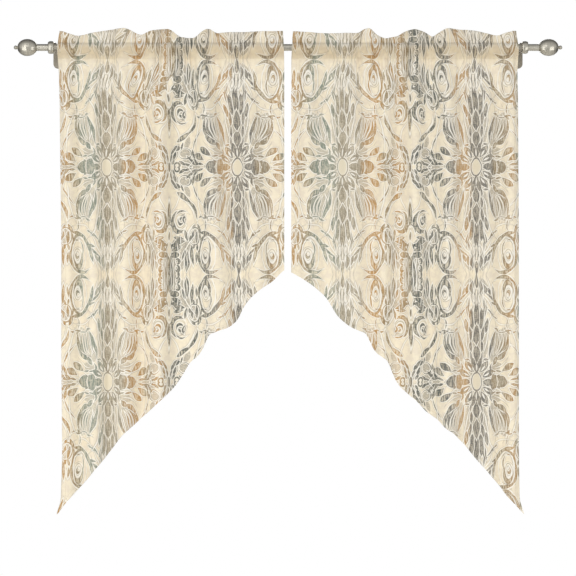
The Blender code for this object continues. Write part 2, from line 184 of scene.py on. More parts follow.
LEFT = Panel(
    name="left_drape",
    edges=(
        Edge(0.041, -0.5350, -0.0120),
        Edge(0.010, -0.5410, -0.0100),
        Edge(-0.025, -0.5410, -0.0090),
        Edge(-0.050, -0.5385, -0.0087),
        Edge(-0.123, -0.5360, -0.0087),
        Edge(-0.452, -0.5316, -0.0087),
        Edge(-0.710, -0.5316, -0.0087),
        Edge(-0.945, -0.5293, -0.0087),
        Edge(-1.062, -0.5328, -0.0087),
        Edge(-1.100, -0.5450, -0.0087),
    ),
    heading=(
        Point(-0.536, 0.0390), Point(-0.516, 0.0330), Point(-0.493, 0.0270), Point(-0.465, 0.0330),
        Point(-0.422, 0.0415), Point(-0.380, 0.0450), Point(-0.361, 0.0360), Point(-0.347, 0.0285),
        Point(-0.324, 0.0385), Point(-0.289, 0.0450), Point(-0.273, 0.0400), Point(-0.258, 0.0260),
        Point(-0.235, 0.0220), Point(-0.218, 0.0225), Point(-0.204, 0.0350), Point(-0.187, 0.0450),
        Point(-0.176, 0.0400), Point(-0.171, 0.0335), Point(-0.113, 0.0365), Point(-0.012, 0.0390),
    ),
    hem=(
        Point(-0.5440, -1.1000), Point(-0.5335, -1.0830), Point(-0.5210, -1.0680),
        Point(-0.4750, -1.0175), Point(-0.4330, -0.9670), Point(-0.3910, -0.9120),
        Point(-0.3490, -0.8740), Point(-0.2900, -0.8200), Point(-0.2650, -0.7945),
        Point(-0.2440, -0.7640), Point(-0.2320, -0.7405), Point(-0.2110, -0.7240),
        Point(-0.1960, -0.6990), Point(-0.1880, -0.6740), Point(-0.1390, -0.6570),
        Point(-0.1185, -0.6405), Point(-0.1060, -0.6110), Point(-0.0890, -0.5880),
        Point(-0.0640, -0.5670), Point(-0.0350, -0.5480), Point(-0.0087, -0.5210),
    ),
    folds=(
        Fold(-0.517, -0.519, 0.030, 0.034, 0.013),
        Fold(-0.461, -0.456, 0.032, 0.038, 0.018),
        Fold(-0.383, -0.384, 0.040, 0.042, 0.021),
        Fold(-0.298, -0.303, 0.040, 0.046, 0.023),
        Fold(-0.200, -0.158, 0.036, 0.066, 0.022),
        Fold(-0.106, -0.060, 0.044, 0.044, 0.015),
    ),
    gathers=(
        Gather(-0.521, 0.022, 0.007), Gather(-0.458, 0.026, 0.006), Gather(-0.388, 0.034, 0.009),
        Gather(-0.321, 0.024, 0.007), Gather(-0.268, 0.022, 0.009), Gather(-0.200, 0.026, 0.010),
        Gather(-0.139, 0.030, 0.007), Gather(-0.060, 0.038, 0.006),
    ),
    creases=(
        Gather(-0.505, 0.008, 0.0016), Gather(-0.486, 0.007, 0.0022), Gather(-0.436, 0.008, 0.0018),
        Gather(-0.402, 0.007, 0.0016), Gather(-0.366, 0.008, 0.0026), Gather(-0.349, 0.006, 0.0024),
        Gather(-0.305, 0.008, 0.0018), Gather(-0.282, 0.007, 0.0026), Gather(-0.258, 0.006, 0.0030),
        Gather(-0.245, 0.006, 0.0032), Gather(-0.232, 0.006, 0.0030), Gather(-0.213, 0.007, 0.0024),
        Gather(-0.176, 0.007, 0.0024), Gather(-0.156, 0.008, 0.0016), Gather(-0.118, 0.008, 0.0018),
        Gather(-0.088, 0.009, 0.0014), Gather(-0.034, 0.008, 0.0018),
    ),
)

RIGHT = Panel(
    name="right_drape",
    edges=(
        Edge(0.041, 0.0115, 0.5350),
        Edge(0.010, 0.0095, 0.5400),
        Edge(-0.025, 0.0080, 0.5410),
        Edge(-0.050, 0.0077, 0.5390),
        Edge(-0.123, 0.0077, 0.5400),
        Edge(-0.452, 0.0077, 0.5420),
        Edge(-0.945, 0.0077, 0.5420),
        Edge(-1.062, 0.0077, 0.5440),
        Edge(-1.100, 0.0077, 0.5570),
    ),
    heading=(
        Point(0.012, 0.0385), Point(0.070, 0.0340), Point(0.164, 0.0335), Point(0.174, 0.0400),
        Point(0.187, 0.0450), Point(0.197, 0.0420), Point(0.204, 0.0320), Point(0.228, 0.0205),
        Point(0.258, 0.0260), Point(0.275, 0.0385), Point(0.300, 0.0425), Point(0.324, 0.0360),
        Point(0.338, 0.0230), Point(0.352, 0.0330), Point(0.373, 0.0450), Point(0.425, 0.0410),
        Point(0.460, 0.0350), Point(0.493, 0.0270), Point(0.510, 0.0340), Point(0.535, 0.0395),
    ),
    hem=(
        Point(0.0077, -0.5270), Point(0.0350, -0.5430), Point(0.0600, -0.5600),
        Point(0.0850, -0.5810), Point(0.1000, -0.6020), Point(0.1145, -0.6280),
        Point(0.1310, -0.6440), Point(0.1480, -0.6570), Point(0.1860, -0.6720),
        Point(0.1960, -0.6990), Point(0.2065, -0.7160), Point(0.2380, -0.7380),
        Point(0.2470, -0.7700), Point(0.2610, -0.7945), Point(0.3030, -0.8310),
        Point(0.3285, -0.8580), Point(0.3535, -0.8740), Point(0.3700, -0.8950),
        Point(0.3890, -0.9050), Point(0.4120, -0.9295), Point(0.4460, -0.9705),
        Point(0.4950, -1.0260), Point(0.5160, -1.0550), Point(0.5420, -1.0810),
        Point(0.5560, -1.1000),
    ),
    folds=(
        Fold(0.045, 0.050, 0.038, 0.046, 0.014),
        Fold(0.148, 0.150, 0.044, 0.060, 0.022),
        Fold(0.232, 0.221, 0.036, 0.030, 0.016),
        Fold(0.296, 0.300, 0.034, 0.040, 0.019),
        Fold(0.376, 0.374, 0.040, 0.040, 0.022),
        Fold(0.462, 0.466, 0.040, 0.042, 0.020),
        Fold(0.522, 0.524, 0.026, 0.028, 0.012),
    ),
    gathers=(
        Gather(0.052, 0.038, 0.006), Gather(0.139, 0.032, 0.008), Gather(0.190, 0.024, 0.010),
        Gather(0.246, 0.026, 0.007), Gather(0.296, 0.026, 0.009), Gather(0.368, 0.036, 0.009),
        Gather(0.441, 0.030, 0.006), Gather(0.512, 0.028, 0.008),
    ),
    creases=(
        Gather(0.031, 0.008, 0.0018), Gather(0.082, 0.009, 0.0015), Gather(0.113, 0.008, 0.0018),
        Gather(0.160, 0.007, 0.0020), Gather(0.176, 0.007, 0.0026), Gather(0.210, 0.007, 0.0026),
        Gather(0.224, 0.006, 0.0032), Gather(0.237, 0.006, 0.0028), Gather(0.268, 0.007, 0.0026),
        Gather(0.316, 0.007, 0.0022), Gather(0.334, 0.006, 0.0030), Gather(0.347, 0.006, 0.0028),
        Gather(0.393, 0.008, 0.0016), Gather(0.418, 0.008, 0.0018), Gather(0.470, 0.007, 0.0022),
        Gather(0.489, 0.007, 0.0024), Gather(0.527, 0.006, 0.0016),
    ),
)


def read_table(places, values, at):
    """Read a table at some places, with its corners rounded a little."""
    order = np.argsort(places)
    places = np.asarray(places)[order]
    values = np.asarray(values)[order]
    return np.mean([np.interp(at + shift, places, values) for shift in CORNER_ROUNDING], axis=0)


def ease(share):
    share = np.clip(share, 0.0, 1.0)
    return share * share * (3.0 - 2.0 * share)


def ridge(x, centre, half):
    """1 on a ridge's line, falling smoothly to 0 at its half width."""
    return (1.0 + np.cos(pi * np.clip((x - centre) / half, -1.0, 1.0))) / 2.0


def body_folds(panel, x, z):
    down = np.clip((LOWER_STITCH_Z - z) / (LOWER_STITCH_Z - FOOT_Z), 0.0, 1.0)
    forward = np.zeros_like(x)
    for fold in panel.folds:
        centre = fold.x_top + (fold.x_foot - fold.x_top) * down
        half = fold.half_top + (fold.half_foot - fold.half_top) * down
        forward += fold.depth * ridge(x, centre, half)
    return forward - FOLD_DEPTH / 2.0


def add_gathers(gathers, x):
    return sum(gather.depth * ridge(x, gather.x, gather.half) for gather in gathers)


def cloth_wave(panel, x, z):
    """How far the cloth stands toward the room: gathers at the rod turn into folds below it."""
    hung = ease((LOWER_STITCH_Z - z) / GATHER_FADE)
    gathered = add_gathers(panel.gathers, x) - GATHER_DEPTH / 2.0
    wave = (1.0 - hung) * gathered + hung * body_folds(panel, x, z)
    smoothed = ease((LOWER_STITCH_Z - z) / CREASE_FADE)
    return wave + (1.0 - smoothed) * add_gathers(panel.creases, x)


def hung_row(panel, z, share):
    """Where the cloth's columns hang at one height, with the folds as deep as its width needs."""
    heights, lefts, rights = zip(*panel.edges)
    left, right = read_table(heights, lefts, z), read_table(heights, rights, z)
    x = np.linspace(left, right, WIDTH_SAMPLES)
    wave = cloth_wave(panel, x, z)
    shallow, deep = 0.0, 2.0
    for _ in range(HALVINGS):
        gain = (shallow + deep) / 2.0
        steps = np.hypot(np.diff(x), gain * np.diff(wave))
        shallow, deep = (gain, deep) if steps.sum() < FLAT_WIDTH else (shallow, gain)
    way = np.concatenate([[0.0], np.cumsum(steps)]) / steps.sum()
    return np.interp(share, way, x), np.interp(share, way, gain * wave)


class HungCloth:
    """Where each column of a panel hangs at any height, read from rows at even heights."""

    top, foot, count = 0.05, -1.12, 160

    def __init__(self, panel, share):
        rows = [hung_row(panel, z, share) for z in np.linspace(self.foot, self.top, self.count)]
        self.x, self.forward = [np.array(part) for part in zip(*rows)]

    def read(self, values, z):
        row = (z - self.foot) / (self.top - self.foot) * (self.count - 1)
        low = np.clip(row.astype(int), 0, self.count - 2)
        column = np.arange(values.shape[1])
        part = row - low
        return values[low, column] * (1.0 - part) + values[low + 1, column] * part

    def points(self, z):
        """Points of the cloth's middle surface, one for each column."""
        z = np.broadcast_to(z, self.x.shape[1]).astype(float)
        heights, shares = zip(*WAVE_DEPTHS)
        forward = self.read(self.forward, z) * np.interp(z, heights, shares)
        return np.stack([self.read(self.x, z), ROD_Y - forward, z], axis=1)

    def outline_heights(self, outline, start_z):
        """The height at which each column meets an edge given by its outline."""
        z = np.full(self.x.shape[1], start_z)
        places, heights = zip(*outline)
        for _ in range(HALVINGS_TO_EDGE):
            z = (z + read_table(places, heights, self.read(self.x, z))) / 2.0
        return z


def column_shares():
    """The columns' places across the flat cloth, close together where a side hem ends."""
    hem = [0.0, HEM_STEP, 0.004, 0.008, 0.012, SIDE_HEM - HEM_STEP, SIDE_HEM + HEM_STEP]
    middle = np.linspace(SIDE_HEM + PAST_SIDE_HEM, FLAT_WIDTH / 2.0, COLUMNS // 2 - len(hem) + 1)
    half = np.concatenate([hem, middle])
    return np.concatenate([half, FLAT_WIDTH - half[-2::-1]]) / FLAT_WIDTH


def bend_through(knots, shares):
    """Rows on a smooth bend through some knot rows (a Catmull-Rom spline)."""
    knots = np.array([2.0 * knots[0] - knots[1], *knots, 2.0 * knots[-1] - knots[-2]])
    place = np.asarray(shares) * (len(knots) - 3)
    rows = []
    for at in place:
        i = min(int(at), len(knots) - 4)
        t = at - i
        a, b, c, d = knots[i : i + 4]
        bend = (2.0 * a - 5.0 * b + 4.0 * c - d) * t * t + (3.0 * (b - c) + d - a) * t**3
        rows.append((2.0 * b + (c - a) * t + bend) / 2.0)
    return rows


def pocket_ply(cloth, low_row, high_row, side):
    """One ply of the pocket from the lower stitch to the upper one, in front (-1) or behind (1)."""
    knots = [low_row]
    for knot in POCKET:
        middle = cloth.points(knot.z)
        wave = np.clip(ROD_Y - middle[:, 1] + GATHER_DEPTH / 2.0, 0.0, 2.0 * GATHER_DEPTH)
        bulge = POCKET_SHARE * (wave if side < 0.0 else wave.max() - wave)
        middle[:, 1] = ROD_Y + side * (knot.depth + bulge)
        knots.append(middle)
    return bend_through(knots + [high_row], np.linspace(0.0, 1.0, POCKET_ROWS))


def facing(rows):
    """Unit normals of a grid of points, toward the room."""
    points = np.array(rows)
    normal = np.cross(np.gradient(points, axis=0), np.gradient(points, axis=1))
    normal /= np.linalg.norm(normal, axis=2, keepdims=True)
    return normal * np.where(normal[..., 1:2] > 0.0, -1.0, 1.0)


def cloth_rows(panel, share):
    """The panel's whole path: up the front from the hem, over the heading and down behind."""
    cloth = HungCloth(panel, share)
    heading_z = cloth.outline_heights(panel.heading, start_z=0.035)
    hem_z = cloth.outline_heights(panel.hem, start_z=-0.8)
    # Where the edge slants, the hem's rows rise more, which keeps them as far from it.
    hem_x = cloth.points(hem_z)[:, 0]
    rise = np.clip(np.gradient(hem_z, hem_x), -STEEPEST_SLANT, STEEPEST_SLANT)
    slant = np.hypot(1.0, rise)

    # Up the front: the hem, the body, and the cloth just under the seam.
    hem = [0.0, 0.0006, 0.003, 0.006, FOOT_HEM - HEM_STEP, FOOT_HEM + HEM_STEP, 0.013]
    rows = [cloth.points(hem_z + reach * slant) for reach in hem]
    start_z = hem_z + (hem[-1] + PAST_FOOT_HEM) * slant
    rows += [
        cloth.points(start_z + (SINGLE_PLY_Z - start_z) * part)
        for part in np.linspace(0.0, 1.0, BODY_ROWS)
    ]
    rows += [cloth.points(z) for z in SEAM_ROWS_Z]

    # Round the pocket and the heading, with each ply a little to its own side of the middle.
    low = cloth.points(LOWER_STITCH_Z)
    height = heading_z - UPPER_STITCH_Z - PLY_GAP
    heading = [cloth.points(UPPER_STITCH_Z + height * part) for part in HEADING_SHARES]
    out = PLY_GAP * facing(heading)
    front_low, back_low = low + (0.0, -PLY_GAP, 0.0), low + (0.0, PLY_GAP, 0.0)
    rows += pocket_ply(cloth, front_low, heading[0] + out[0], -1.0)
    rows += [row + step for row, step in zip(heading[1:], out[1:])]
    for angle in TOP_TURN_ANGLES:
        up = np.array((0.0, 0.0, PLY_GAP * np.sin(angle)))
        rows.append(heading[-1] + np.cos(angle) * out[-1] + up)
    rows += [row - step for row, step in zip(heading[:0:-1], out[:0:-1])]
    rows += pocket_ply(cloth, back_low, heading[0] - out[0], 1.0)[::-1]
    return np.array(rows), len(hem), hem_z, heading_z


def link_piece(name, edit, materials):
    """Turn a finished bmesh into a smooth piece at the origin."""
    mesh = bpy.data.meshes.new(name)
    edit.to_mesh(mesh)
    edit.free()
    mesh.shade_smooth()
    for material in materials:
        mesh.materials.append(material)
    piece = bpy.data.objects.new(name, mesh)
    bpy.context.collection.objects.link(piece)
    return piece


def add_panel(panel, material, reverse):
    """Hang one panel, and give it with the length of its front and the seams that show."""
    share = column_shares()
    rows, hem_rows, hem_z, heading_z = cloth_rows(panel, share)
    row_count, column_count = rows.shape[:2]
    cloth = bmesh.new()
    bmesh.ops.create_grid(cloth, x_segments=column_count - 1, y_segments=row_count - 1, size=1)
    flat_map = cloth.loops.layers.uv.new("flat_cloth")
    thick = cloth.verts.layers.deform.verify()

    turn = int(np.argmax(rows[:, 0, 2]))
    down = np.linalg.norm(np.diff(rows[turn:], axis=0), axis=2).cumsum(axis=0)
    flat_s = FLAT_TOP_Z - rows[..., 2]
    flat_s[turn + 1 :] = flat_s[turn] - down
    on_side = (share * FLAT_WIDTH < SIDE_HEM) | (share * FLAT_WIDTH > FLAT_WIDTH - SIDE_HEM)

    # The last two rows of the hem already lie on single cloth.
    double_rows = hem_rows - 2
    place = {}
    for vert in cloth.verts:
        column = round((vert.co.x + 1.0) / 2.0 * (column_count - 1))
        row = round((vert.co.y + 1.0) / 2.0 * (row_count - 1))
        place[vert] = (row, column)
    for vert, (row, column) in place.items():
        vert.co = rows[row, column]
        double = on_side[column] or row < double_rows
        vert[thick][0] = 1.0 if double else CLOTH / HEM
    for face in cloth.faces:
        for loop in face.loops:
            row, column = place[loop.vert]
            loop[flat_map].uv = (share[column] * FLAT_WIDTH, flat_s[row, column])
    piece = link_piece(panel.name + "_cloth", cloth, [material, reverse])
    piece.vertex_groups.new(name="hems")
    ply = piece.modifiers.new("ply", "SOLIDIFY")
    ply.thickness = HEM
    ply.offset = 0.0
    ply.vertex_group = "hems"
    ply.material_offset = 1
    ply.use_even_offset = False
    front_length = float(np.mean(heading_z - hem_z))
    seam_row = hem_rows + BODY_ROWS + len(SEAM_ROWS_Z)
    hem_column = int(np.searchsorted(share * FLAT_WIDTH, SIDE_HEM - HEM_STITCH_INSET))
    seams = (
        Seam(rows[seam_row], CLOTH),
        Seam(rows[double_rows - 1], HEM),
        Seam(rows[:seam_row, hem_column], HEM),
        Seam(rows[:seam_row, column_count - 1 - hem_column], HEM),
    )
    return piece, front_length, seams


def add_stitches(name, seams, material):
    """Lockstitch along the seams: one short bead of thread for each stitch, on the cloth's face."""
    stitching = bmesh.new()
    for line, ply in seams:
        way = np.concatenate([[0.0], np.linalg.norm(np.diff(line, axis=0), axis=1).cumsum()])
        starts = np.arange(STITCH_PITCH / 2.0, way[-1] - STITCH_PITCH, STITCH_PITCH)
        for start in starts:
            ends = [
                Vector([np.interp(at, way, line[:, axis]) for axis in range(3)])
                for at in (start, start + STITCH_LENGTH)
            ]
            along = (ends[1] - ends[0]).normalized()
            face = along.cross(Vector((0.0, 1.0, 0.0))).cross(along).normalized()
            middle = (ends[0] + ends[1]) / 2.0 - face * (ply / 2.0 + THREAD_WIDTH / 4.0)
            axes = Matrix((along, face, along.cross(face))).transposed().to_4x4()
            size = (STITCH_LENGTH / 2.0, THREAD_WIDTH / 2.0, THREAD_WIDTH / 2.0)
            place = Matrix.Translation(middle) @ axes @ Matrix.Diagonal((*size, 1.0))
            bmesh.ops.create_icosphere(stitching, subdivisions=1, radius=1.0, matrix=place)
    return link_piece(name, stitching, [material])


# The print is a damask in worn ink on cream: medallions 380 mm apart in rows 505 mm apart, with
# a column of scrolls between them. It is drawn once, as a quarter of the repeat, and mirrored.
# The chart is in mm: x from a medallion toward the column, before the cloth was stretched across
# by a twentieth, and y away from the medallion's middle, down or up the flat cloth.
MEDALLION_U = 135.0
PRINT_STRETCH = 1.055
MEDALLION_S = 321.5
HALF_REPEAT_U = 180.0
HALF_REPEAT_S = 252.25

# A leaf of pointed ends: taper widens its far end, bend bows its middle to the left.
Leaf = namedtuple("Leaf", "x y angle half_length half_width taper bend", defaults=(0, 0))
# An oval stroke, whose half width is full toward thick_at and lift of that on average.
Scroll = namedtuple("Scroll", "x y half_x half_y tilt thick_at half_width lift")

# Printed in ink, motif by motif.
INK_MOTIFS = {
    "boss ring and rosette": (
        Scroll(0, 0, 14, 21, 0, 0, 1.0, 1), Leaf(0, 34, 90, 13, 7, -0.3), Leaf(9, 44, 78, 14, 5.4),
        Leaf(20, 36, 58, 16, 7, 0.1), Leaf(30, 20, 34, 15, 7, 0.1), Leaf(28, 2, 2, 11, 6, 0.2),
    ),
    "spine of lozenges": (
        Leaf(0, 66, 90, 21, 9.5, 0.2), Leaf(0, 110, 90, 24, 9.5, -0.3),
        Leaf(3, 160, 91, 28, 4.6, -0.3), Leaf(0, 239, 90, 19, 4.6, -0.65),
        Leaf(4, 204, 92, 16, 1.3), Scroll(9, 198, 5, 13, -6, 90, 1.0, 0.6),
    ),
    "feathers beside the spine": (
        Leaf(15, 84, 88, 14, 3.4), Leaf(16, 61, 84, 10, 2), Leaf(24, 53, 0, 5, 2.4),
        Leaf(13, 148, 86, 26, 7, -0.2), Leaf(17, 113, 84, 17, 3.6), Leaf(26, 133, 82, 17, 4.4),
        Leaf(21, 164, 78, 18, 4), Leaf(20, 186, 96, 12, 1.8),
    ),
    "tulip bud": (
        Leaf(39, 88, 74, 35, 3.4, 0.1, 4), Leaf(46, 98, 76, 26, 1.6, 0, 5),
        Leaf(78, 86, -108, 34, 4.2, 0.35, 12), Leaf(72, 88, -107, 28, 2.6, 0.2, 9),
        Leaf(65, 89, -105, 24, 2.1, 0.1, 6), Leaf(58, 90, -102, 19, 1.7, 0, 3),
        Leaf(69, 61, -146, 16, 7, 0.1), Leaf(69, 118, -2, 14, 1, 0, -3),
        Leaf(54, 123, -24, 8, 2.2, 0, 3), Leaf(84, 117, -40, 8, 2.8, 0, 3),
        Leaf(49, 50, 55, 11, 5.6, 0.1), Leaf(37, 34, -88, 12, 2.3, 0, -5),
        Leaf(45, 25, -10, 6, 1.6), Leaf(60, 26, -6, 9, 2.2),
    ),
    "hearts on the level line, and the fan": (
        Scroll(45, 0, 4.5, 9, 0, 0, 5.4, 1), Leaf(71, 5, -22, 14, 8.4, -0.3),
        Leaf(84, 35, 36, 18, 7.2, 0.45), Leaf(101, 23, 34, 16, 7.8, 0.45),
        Leaf(116, 11, 26, 13, 6.4, 0.4), Leaf(98, 6, 12, 9, 2.6, 0.3), Leaf(60, 14, 24, 6, 2.2),
    ),
    "net between the fan and the column": (
        Leaf(119, 30, 72, 13, 3.2), Leaf(128, 17, 50, 12, 2.6), Leaf(134, 5, 20, 10, 2.4),
        Leaf(146, 9, 40, 9, 3.2), Scroll(139, 32, 14, 13, 0, 215, 1.4, 0.5),
        Scroll(157, 4, 5.6, 6, 0, 0, 1.8, 1),
    ),
    "thin leaf beyond the bud": (Leaf(110, 64, -60, 27, 1.6, 0, 5),),
    "crown": (
        Leaf(12, 225, 97, 14, 4.8, -0.2), Leaf(22, 219, 104, 13, 4.0, -0.1),
        Leaf(31, 213, 110, 10, 2.8), Leaf(43, 206, 98, 20, 4, -0.2),
        Leaf(35, 199, -42, 17, 2.4, 0.2), Leaf(45, 184, -20, 10, 2.6),
    ),
    "tendril": (
        Leaf(33, 164, -58, 11, 1.5, 0, 2), Leaf(41, 157, -40, 7, 3.2), Leaf(51, 151, -30, 6, 1.8),
        Leaf(24, 175, 0, 4, 2.4),
    ),
    "great scroll": (
        Leaf(77, 241, -10, 27, 4.6, 0, 12), Leaf(102, 216, -80, 26, 3.8, 0, 6),
        Scroll(82, 204, 22, 44, 0, -30, 1.8, 0.2), Leaf(62, 177, -52, 37, 4.4, 0.1, -8),
        Leaf(88, 157, -18, 14, 4, 0, -3), Scroll(86, 211, 12, 21, 0, 100, 5.0, 0.3),
        Leaf(74, 190, -84, 20, 1.6, 0, -5), Leaf(90, 172, 12, 8, 1.8, 0, -4),
        Scroll(86, 207, 4, 6, 0, 60, 2.4, 0.4),
    ),
    "joints below it": (
        Leaf(104, 144, -64, 13, 3.8), Leaf(85, 137, -92, 14, 1.3, 0, -4),
        Leaf(88, 120, -4, 8, 1.6, 0, 2), Leaf(100, 118, 6, 6, 2, 0, -3), Leaf(99, 168, -84, 14, 2),
    ),
    "small scroll leaf": (
        Leaf(112, 165, 86, 15, 3.2), Leaf(122, 161, 82, 12, 2.8),
        Scroll(117, 162, 14, 21, -5, 190, 1.2, 0.5), Leaf(137, 160, 100, 14, 3.4),
        Leaf(119, 139, 60, 6, 3), Leaf(128, 168, 84, 8, 2.6),
    ),
    "heart scroll": (
        Scroll(152, 127, 18, 24, 0, 26, 4.6, 0.15), Leaf(158, 149, -24, 14, 4.4, 0, 4),
        Leaf(148, 106, 12, 12, 2, 0, -5), Leaf(141, 124, 96, 10, 1.8, 0, -4),
        Scroll(149, 125, 7, 10, 0, 60, 2, 0), Leaf(149, 121, 60, 5, 2.4),
        Leaf(141, 119, 0, 3.5, 2.6),
    ),
    "stem to its end leaf": (
        Leaf(119, 99, -64, 26, 3.4, 0.2, -5), Leaf(141, 71, -36, 21, 5, 0.4),
        Leaf(146, 50, -72, 9, 2.2),
    ),
    "column": (
        Leaf(178.5, 110, 90, 29, 3.6, 0.2), Leaf(172, 144, 116, 12, 2, 0, 3),
        Leaf(179, 162, 90, 10, 1.6), Leaf(177, 250, 90, 42, 9.5),
        Scroll(157, 222, 4.5, 5.5, 0, 200, 3.2, 0.4), Scroll(157, 238, 4.5, 6.5, 0, 160, 3.2, 0.4),
        Leaf(154, 252, 90, 8, 3.2), Leaf(173, 210, 92, 10, 2.6),
        Scroll(163, 206, 4.5, 3, 0, 0, 4.4, 1), Leaf(160, 192, 18, 13, 4.6, 0.3),
        Leaf(161, 184, -4, 13, 4.4, 0.3), Leaf(152, 176, 14, 14, 5, 0.3),
        Leaf(153, 167, -8, 12, 4.2, 0.3), Leaf(173, 186, -72, 9, 1.6),
    ),
    "blades beside the column's head": (
        Leaf(134, 222, 88, 24, 5, 0.1), Leaf(141, 205, 74, 14, 3), Leaf(123, 207, 94, 24, 3.8, 0.1),
        Leaf(112, 212, 86, 13, 2.2), Leaf(111, 189, 98, 8, 2.6), Leaf(119, 187, 80, 7, 2.6),
    ),
    "chain of lobes": (
        Leaf(159, 44, -24, 10, 6), Leaf(169, 36, -52, 9, 3.4), Leaf(163, 26, -72, 9, 3.8),
        Leaf(174, 20, -78, 10, 3.4), Leaf(166, 12, -66, 7, 2.8), Leaf(179, 3, 84, 9, 3.2),
    ),
}
# Washed in thin ink behind them, which ties them together.
WASH_MOTIFS = {
    "medallion": (
        Leaf(0, 108, 90, 98, 29, -0.25), Leaf(0, 20, 90, 36, 34), Leaf(36, 0, 0, 44, 20),
        Leaf(58, 88, 62, 46, 25, -0.1), Leaf(66, 0, 0, 22, 15), Leaf(50, 34, 30, 20, 12),
    ),
    "net, scroll leaves and crown": (
        Leaf(124, 4, 12, 26, 22), Leaf(138, 34, 20, 17, 12), Leaf(118, 162, 86, 24, 13),
        Leaf(136, 198, 76, 44, 13), Leaf(18, 224, 96, 20, 11), Leaf(146, 124, 70, 16, 10),
        Leaf(164, 30, -66, 28, 10), Leaf(134, 56, -66, 16, 6), Leaf(166, 230, 84, 30, 13),
        Leaf(156, 182, 20, 20, 14),
    ),
}
# Left bare of ink over them: the slits in the petals and the stems, with a thin line each side.
PALE_MOTIFS = {
    "slits in the rosette's petals": (
        Leaf(0, 34, 90, 9, 1.9), Leaf(18, 32, 58, 8, 1.7), Leaf(26, 18, 34, 7, 1.7),
    ),
    "through the spine and its feathers": (
        Leaf(3, 88, 60, 9, 0.8), Leaf(8, 156, 86, 30, 0.8), Leaf(20, 152, 82, 24, 0.7),
        Leaf(24, 94, 80, 30, 0.8, 0, -3), Leaf(8, 200, 94, 20, 0.8),
    ),
    "through the bud": (
        Leaf(47, 92, 75, 28, 0.6, 0, -4), Leaf(68, 68, -150, 14, 0.8, 0, 2),
    ),
    "through the hearts and fan": (
        Leaf(56, 20, 10, 16, 1, 0, -5), Leaf(64, 40, 24, 18, 1, 0, -4), Leaf(122, 20, 60, 14, 0.9),
        Leaf(128, 6, -50, 10, 0.9),
    ),
    "round the great scroll": (
        Scroll(83, 204, 17, 38, 0, 0, 1.1, -0.6), Scroll(86, 210, 7.5, 14.5, 0, 70, 1, 0.6),
    ),
    "round the heart scroll and along the stems": (
        Scroll(151, 127, 13, 18, 0, 26, 1, -0.2), Leaf(126, 99, -62, 26, 1, 0, -5),
        Leaf(128, 178, 58, 26, 1, 0, -4), Leaf(134, 222, 88, 16, 0.6), Leaf(141, 222, 86, 24, 0.7),
        Leaf(129, 214, 92, 24, 0.7), Leaf(167, 232, 88, 20, 0.9),
    ),
    "ribs in the column's head and lobes": (
        Leaf(174, 240, 88, 30, 0.8), Leaf(156, 188, 96, 10, 0.8), Leaf(149, 172, 96, 9, 0.8),
    ),
    "stems from scroll to scroll and up to the crown": (
        Leaf(104, 84, -78, 42, 1.2, 0, 5), Leaf(128, 148, -118, 20, 1.1, 0, 5),
        Leaf(160, 84, -116, 26, 1, 0, -7), Leaf(66, 140, -20, 24, 1, 0, -8),
        Leaf(36, 140, 70, 24, 1, 0, 5), Leaf(8, 210, 84, 24, 0.9),
    ),
    "crown and tendril": (
        Leaf(36, 214, 106, 26, 0.9), Leaf(19, 214, 92, 28, 0.8), Leaf(28, 188, -58, 26, 0.9, 0, 4),
    ),
    "chain": (Leaf(166, 30, -64, 24, 0.8),),
}
BOSS_MOTIFS = {"boss": (Scroll(0, 0, 5.2, 9.2, 0, 0, 5.3, 1),)}

# Seven inks, which change in soft stripes across a panel: place in mm of chart, ink and depth.
INKS = {
    "ochre": "B88B4C",
    "copper": "B08A58",
    "bronze": "907C5A",
    "stone": "8A806C",
    "sage": "7A867B",
    "slate": "706E69",
    "charcoal": "555B57",
}
InkStripe = namedtuple("InkStripe", "place ink depth")
INK_STRIPES = (
    InkStripe(0, "ochre", 0.88),
    InkStripe(36, "bronze", 0.86),
    InkStripe(56, "sage", 0.86),
    InkStripe(100, "sage", 0.78),
    InkStripe(122, "stone", 0.74),
    InkStripe(172, "stone", 0.74),
    InkStripe(188, "copper", 0.84),
    InkStripe(224, "ochre", 0.90),
    InkStripe(240, "bronze", 0.92),
    InkStripe(258, "bronze", 0.86),
    InkStripe(270, "ochre", 0.84),
    InkStripe(302, "bronze", 0.84),
    InkStripe(316, "charcoal", 1.00),
    InkStripe(390, "charcoal", 1.00),
    InkStripe(424, "slate", 0.76),
    InkStripe(438, "copper", 0.76),
    InkStripe(464, "copper", 0.82),
    InkStripe(476, "slate", 0.92),
    InkStripe(522, "slate", 0.90),
    InkStripe(536, "bronze", 0.94),
    InkStripe(556, "stone", 0.96),
    InkStripe(590, "copper", 0.88),
    InkStripe(604, "sage", 0.94),
)
GROUND_CREAM = "F0E5CC"
PALE_CREAM = "F1EDE3"
BOSS_CREAM = "E5DBC3"
MOTTLE_CREAM = "DDD0BF"
OUTLINE_SLATE = "6F6A60"
WASH_GREY = "BFB8AA"


def measure(tree, place, x, y, angle, reach, start=0.0):
    """How far a place lies from (x, y) in a direction, as a share of a reach."""
    cosine, sine = cos(radians(angle)) / reach, sin(radians(angle)) / reach
    direction = (cosine, sine, start / reach - x * cosine - y * sine)
    dot = {"operation": "DOT_PRODUCT", 0: place, 1: direction}
    return add_node(tree, "ShaderNodeVectorMath", dot).outputs["Value"]


def reckon(tree, steps, values):
    """Work through some sums, each a Math operation on named values, and give the last result."""
    for name, operation, *terms in steps:
        settings = {"operation": operation}
        for slot, term in enumerate(terms):
            settings[slot] = values.get(term, term)
        values[name] = add_node(tree, "ShaderNodeMath", settings).outputs[0]
    return values[name]


